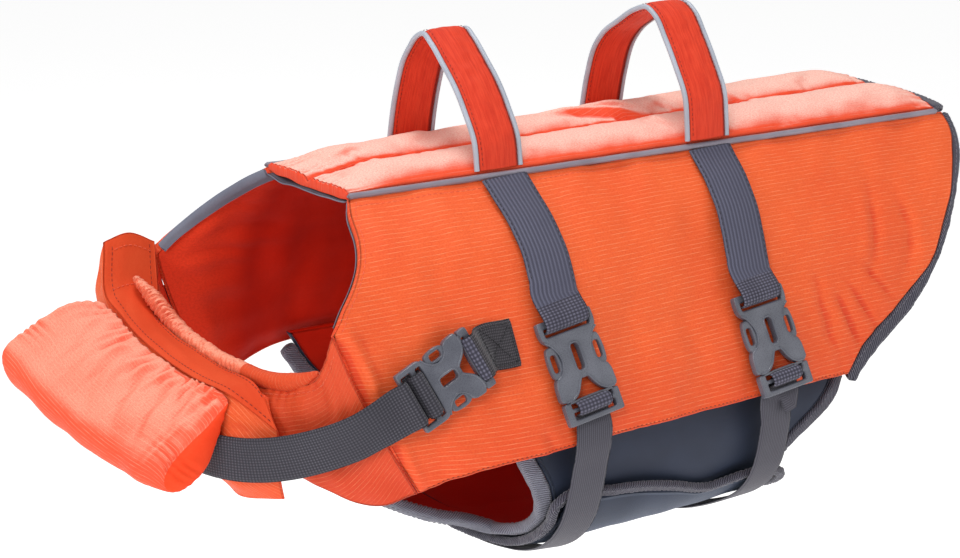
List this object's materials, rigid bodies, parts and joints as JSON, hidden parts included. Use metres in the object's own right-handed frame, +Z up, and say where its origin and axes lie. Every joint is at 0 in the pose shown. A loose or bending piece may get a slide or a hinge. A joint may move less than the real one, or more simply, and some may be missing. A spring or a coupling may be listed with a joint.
{
  "type": "dog life jacket",
  "caption": "Foam-filled dog life jacket with quilted back, lift handles, wrap belly panel, chin float and side-release buckles, held in its worn shape.",
  "frame": {"origin": "on the inside of the back panel at its middle, where the wearer's back carries the jacket", "axes": "+X from the neck to the tail, +Z up, -Y the wearer's left, the side with the buckles"},
  "size_m": [0.5676, 0.2714, 0.3072],
  "materials": {
    "shell": "orange ripstop polyester",
    "top": "light orange woven polyester over foam",
    "facing": "red-orange facing cloth",
    "webbing": "dark grey webbing",
    "reflective": "silver-grey reflective piping",
    "twill": "grey twill binding tape",
    "neoprene": "dark slate smooth stretch cloth over foam",
    "handle": "red-orange padded webbing",
    "plastic": "grey acetal, satin"
  },
  "bodies": {
    "root": {"back_panel": "top", "side_panel_left": "shell", "side_panel_right": "shell", "piping_left": "reflective", "piping_right": "reflective", "neck_tape_left": "twill", "neck_tape_right": "twill", "neck_tape_top": "twill", "tail_binding_left": "twill", "tail_binding_right": "twill", "tail_binding_top": "twill", "chest_yoke": "shell", "neck_roll": "top", "chest_flap": "shell", "flap_facing": "facing", "chin_float": "top", "belly_panel": "neoprene", "belly_tongue": "neoprene", "belly_flap": "neoprene", "flap_binding": "twill", "belly_binding": "twill", "leg_binding_left": "twill", "leg_binding_right": "twill", "handle_front": "handle", "handle_front_piping_a": "reflective", "handle_front_piping_b": "reflective", "handle_rear": "handle", "handle_rear_piping_a": "reflective", "handle_rear_piping_b": "reflective", "side_strap_front_left": "webbing", "side_strap_front_right": "webbing", "side_strap_rear_left": "webbing", "side_strap_rear_right": "webbing", "belly_strap_front": "webbing", "belly_strap_rear": "webbing", "buckle_front_socket": "plastic", "buckle_front_plug": "plastic", "buckle_rear_socket": "plastic", "buckle_rear_plug": "plastic", "chest_buckle_socket": "plastic", "chest_buckle_plug": "plastic", "chest_strap": "webbing", "chest_patch": "webbing"}
  },
  "joints": []
}
